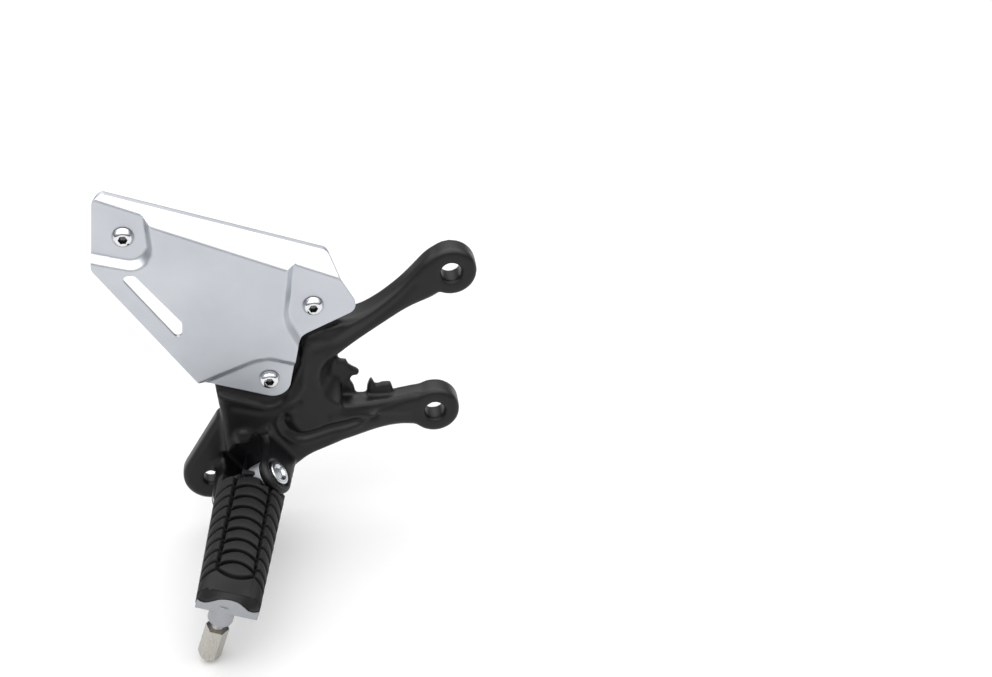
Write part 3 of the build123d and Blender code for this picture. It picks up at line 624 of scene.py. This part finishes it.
def tread_rubber(material):
    """Rubber of the peg with its soft grooves, in place of the plain solid."""
    bm = bmesh.new()
    rows = []
    core, top = TREAD_CORE
    for step in range(TREAD_ROWS + 1):
        distance = TREAD_START + (TREAD_END - TREAD_START) * step / TREAD_ROWS
        side = tread_section(distance)
        outline = [(-x, z) for x, z in reversed(side[1:])] + side
        row = []
        for k, (x, z) in enumerate(outline):
            before = outline[max(0, k - 1)]
            after = outline[min(len(outline) - 1, k + 1)]
            normal = Vector((before[1] - after[1], after[0] - before[0])).normalized()
            fade = min(1.0, max(0.0, (z + 1.0) / 4.0))
            cut = groove_at(x, distance) * fade
            past = max(0.0, distance - crease_at(x)) / (TREAD_END - crease_at(x))
            sunk = max(0.0, z - TREAD_TIP_SIDE) / (TREAD_TOP - TREAD_TIP_SIDE) * TREAD_END_DROP * past
            height = z - sunk - normal.y * cut
            if abs(x) < core + CORE_COVER and z > TREAD_SHOULDER:
                height = max(height, top + CORE_COVER)
            row.append(bm.verts.new(on_peg(x - normal.x * cut, distance, height)))
        for x, z in ((core, TREAD_FOOT), (core, top), (-core, top), (-core, TREAD_FOOT)):
            row.append(bm.verts.new(on_peg(x, distance, z)))
        rows.append(row)
    size = len(rows[0])
    for before, after in zip(rows, rows[1:]):
        for k in range(size):
            face = bm.faces.new((before[k], before[(k + 1) % size], after[(k + 1) % size], after[k]))
            face.smooth = k < size - 5
    bm.faces.new(reversed(rows[0]))
    bm.faces.new(rows[-1])
    bmesh.ops.recalc_face_normals(bm, faces=bm.faces)
    rubber = put_piece("tread_rubber", bm, material, "footpeg")
    for start, end, reach in HINGE_ROOMS:
        room = bmesh.new()
        bmesh.ops.create_cube(room, size=1.0)
        for vert in room.verts:
            along, inboard, up = vert.co
            spot = PIN_ALONG * (start + (end - start) * (along + 0.5)) + PIN_UP * 60 * up
            vert.co = PIN_CENTRE + (spot + OUT * (reach - 60 * (inboard + 0.5))) * MM
        bmesh.ops.recalc_face_normals(room, faces=room.faces)
        cutter = put_object("hinge_room", room)
        rubber.data = modified(rubber, "BOOLEAN", object=cutter, solver="EXACT")
        bpy.data.objects.remove(cutter)
    bm = bmesh.new()
    bm.from_mesh(rubber.data)
    tip_tongue(bm)
    bm.to_mesh(rubber.data)
    bm.free()
    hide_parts("peg_rubber")


def colour(name, hex_colour):
    """Colour property with its default from an sRGB hex."""
    return FloatVectorProperty(
        name=name, description=name, subtype="COLOR", size=4, min=0.0, max=1.0, default=linear(hex_colour)
    )


def owner(context):
    """Sizes and colours of this add-on in the scene."""
    return context.scene.footrest


class FootrestLook(bpy.types.PropertyGroup):
    casting: colour("Powder coat of the casting", "#09090b")
    plate: colour("Anodised heel plate", "#c9ccd1")
    peg: colour("Cast peg body", "#a4a6aa")
    rubber: colour("Rubber of the peg and the grommets", "#0b0b0c")
    feeler: colour("Nickel of the feeler bolt", "#c3c0b9")
    steel: colour("Stainless screws", "#dcdddf")
    zinc: colour("Zinc plate", "#dfe1e2")
    spring: colour("Spring steel", "#55565a")
    floor: colour("Studio floor", "#f7f7f7")
    screw_pitch: FloatProperty(name="M6 pitch", description="In millimetres", default=1.0)
    feeler_pitch: FloatProperty(name="M5 pitch", description="In millimetres", default=0.8)
    thread_depth: FloatProperty(name="Thread depth", description="In millimetres", default=0.28)
    lens: FloatProperty(name="Lens", description="Focal length in millimetres", default=65.0)


class FOOTREST_OT_casting(bpy.types.Operator):
    """Finish of the bracket casting"""

    bl_idname = "footrest.casting"
    bl_label = "Bracket casting"

    def execute(self, context):
        coat = powder_coated_casting(owner(context))
        dress(coat, "bracket_casting")
        soft_casting(coat)
        return {"FINISHED"}


class FOOTREST_OT_heel_plate(bpy.types.Operator):
    """Finish of the heel plate"""

    bl_idname = "footrest.heel_plate"
    bl_label = "Heel plate"

    def execute(self, context):
        dress(anodised_sheet(owner(context)), "heel_plate")
        return {"FINISHED"}


class FOOTREST_OT_fixings(bpy.types.Operator):
    """Finishes of the heel plate's screws, sleeves, washers, nuts and grommets"""

    bl_idname = "footrest.fixings"
    bl_label = "Heel plate fixings"

    def execute(self, context):
        look = owner(context)
        steel = polished_stainless(look)
        dress(steel, *[f"plate_screw_{p}" for p in PLACES])
        for place in PLACES:
            low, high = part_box(f"nut_{place}")
            start = Vector(((low[0] + high[0]) / 2, high[1], (low[2] + high[2]) / 2))
            size = (3.0, 1.2, look.screw_pitch)
            thread(f"thread_{place}", start, Vector((0, 1, 0)), size, look.thread_depth, steel, "bracket")
        zinc = bright_zinc(look)
        dress(zinc, *[f"{kind}_{p}" for kind in ("sleeve", "washer", "nut") for p in PLACES])
        dress(zinc, "pin_washer", "pivot_pin", "rubber_insert", "rubber_screw_inner", "rubber_screw_outer")
        rubber = moulded_rubber(look)
        dress(rubber, "peg_rubber", *[f"grommet_{p}" for p in PLACES])
        tread_rubber(rubber)
        dress(oiled_spring_steel(look), "return_spring", "retaining_clip")
        return {"FINISHED"}


class FOOTREST_OT_peg(bpy.types.Operator):
    """Finishes of the peg body and the feeler bolt"""

    bl_idname = "footrest.peg"
    bl_label = "Peg and feeler"

    def execute(self, context):
        look = owner(context)
        dress(tumbled_aluminium(look), "peg_body")
        nickel = nickel_plate(look)
        dress(nickel, "feeler_bolt")
        feeler_up = ACROSS * math.sin(FEELER_LEAN) + TREAD_UP * math.cos(FEELER_LEAN)
        neck = on_peg(*FEELER_PLACE, 0) + feeler_up * FEELER_TOP * MM
        size = (2.5, FEELER_NECK, look.feeler_pitch)
        thread("thread_feeler", neck, feeler_up, size, look.thread_depth, nickel, "footpeg")
        return {"FINISHED"}


# Camera: where it stands, in metres from the upper mounting bore, and how it is turned
CAMERA_PLACE = (-0.0748, -0.7698, 0.4610)
CAMERA_AZIMUTH = -7.3
CAMERA_ELEVATION = 33.3
SENSOR_MM = 36.0


def soft_box(name, place, aim, size, watts):
    """Square area lamp at place, turned to aim."""
    lamp = bpy.data.lights.new(name, "AREA")
    lamp.shape = "SQUARE"
    lamp.size = size
    lamp.energy = watts
    thing = bpy.data.objects.new(name, lamp)
    thing.location = place
    thing.rotation_euler = (Vector(aim) - Vector(place)).to_track_quat("-Z", "Y").to_euler()
    bpy.context.scene.collection.objects.link(thing)


class FOOTREST_OT_stage(bpy.types.Operator):
    """Floor, studio light and camera"""

    bl_idname = "footrest.stage"
    bl_label = "Studio"

    def execute(self, context):
        look = owner(context)
        scene = context.scene
        scene.view_settings.view_transform = "Standard"
        middle = (cad_low + cad_high) / 2

        mesh = bpy.data.meshes.new("floor")
        bm = bmesh.new()
        bmesh.ops.create_grid(bm, x_segments=1, y_segments=1, size=6.0)
        bmesh.ops.translate(bm, verts=bm.verts, vec=(middle.x, middle.y, cad_low.z - 0.5 * MM))
        bm.to_mesh(mesh)
        bm.free()
        floor = bpy.data.objects.new("floor", mesh)
        scene.collection.objects.link(floor)
        # Matt white paper
        paper = new_material("white_paper", look.floor, 0.0, 0.9)[0]
        mesh.materials.append(paper)

        world = bpy.data.worlds.new("studio")
        scene.world = world
        world.use_nodes = True
        wtree = world.node_tree
        wtree.nodes.clear()
        # A bright tent from above that darkens to the horizon, seen so by mirror rays only
        path = add_node(wtree, "ShaderNodeLightPath")
        place = add_node(wtree, "ShaderNodeTexCoord").outputs["Generated"]
        up = add_node(wtree, "ShaderNodeSeparateXYZ", Vector=place).outputs["Z"]
        tent = add_node(wtree, "ShaderNodeMapRange", Value=up, _1=0.12, _2=0.5, _3=0.1, _4=1.05).outputs[0]
        crown = add_node(wtree, "ShaderNodeMapRange", Value=up, _1=0.5, _2=0.7, _3=1.0, _4=2.5).outputs[0]
        times = {"operation": "MULTIPLY"}
        mirrored = add_node(wtree, "ShaderNodeMath", times, _0=tent, _1=crown).outputs[0]
        glossy = path.outputs["Is Glossy Ray"]
        camera_ray = path.outputs["Is Camera Ray"]
        lit = add_node(wtree, "ShaderNodeMix", _0=glossy, _2=1.0, _3=mirrored).outputs[0]
        seen = add_node(wtree, "ShaderNodeMix", _0=camera_ray, _2=lit, _3=1.0)
        sky = add_node(wtree, "ShaderNodeBackground", Color=(1, 1, 1, 1), Strength=seen.outputs[0])
        out = add_node(wtree, "ShaderNodeOutputWorld")
        wtree.links.new(sky.outputs[0], out.inputs[0])

        soft_box("key", middle + Vector((-0.4, -0.5, 1.3)), middle, 1.6, 5.0)
        soft_box("top", middle + Vector((0.2, 0.35, 1.1)), middle, 1.2, 3.0)

        camera = bpy.data.cameras.new("camera")
        camera.lens = look.lens
        camera.sensor_width = SENSOR_MM
        camera.clip_start = 0.01
        view = bpy.data.objects.new("camera", camera)
        view.location = CAMERA_PLACE
        view.rotation_euler = (math.radians(90 - CAMERA_ELEVATION), 0, math.radians(CAMERA_AZIMUTH))
        scene.collection.objects.link(view)
        scene.camera = view
        return {"FINISHED"}


OPERATORS = (
    FOOTREST_OT_casting,
    FOOTREST_OT_heel_plate,
    FOOTREST_OT_fixings,
    FOOTREST_OT_peg,
    FOOTREST_OT_stage,
)


class FOOTREST_PT_panel(bpy.types.Panel):
    """Lists the steps that dress the footrest bracket"""

    bl_label = "Footrest bracket"
    bl_idname = "FOOTREST_PT_panel"
    bl_space_type = "VIEW_3D"
    bl_region_type = "UI"
    bl_category = "Footrest"

    def draw(self, context):
        look = owner(context)
        for name in look.__annotations__:
            self.layout.prop(look, name)
        for step in OPERATORS:
            self.layout.operator(step.bl_idname)


def register():
    for item in (FootrestLook, *OPERATORS, FOOTREST_PT_panel):
        bpy.utils.register_class(item)
    bpy.types.Scene.footrest = PointerProperty(type=FootrestLook)


def unregister():
    del bpy.types.Scene.footrest
    for item in reversed((FootrestLook, *OPERATORS, FOOTREST_PT_panel)):
        bpy.utils.unregister_class(item)


def main():
    register()
    bpy.ops.footrest.casting()
    bpy.ops.footrest.heel_plate()
    bpy.ops.footrest.fixings()
    bpy.ops.footrest.peg()
    bpy.ops.footrest.stage()


if __name__ == "__main__":
    main()
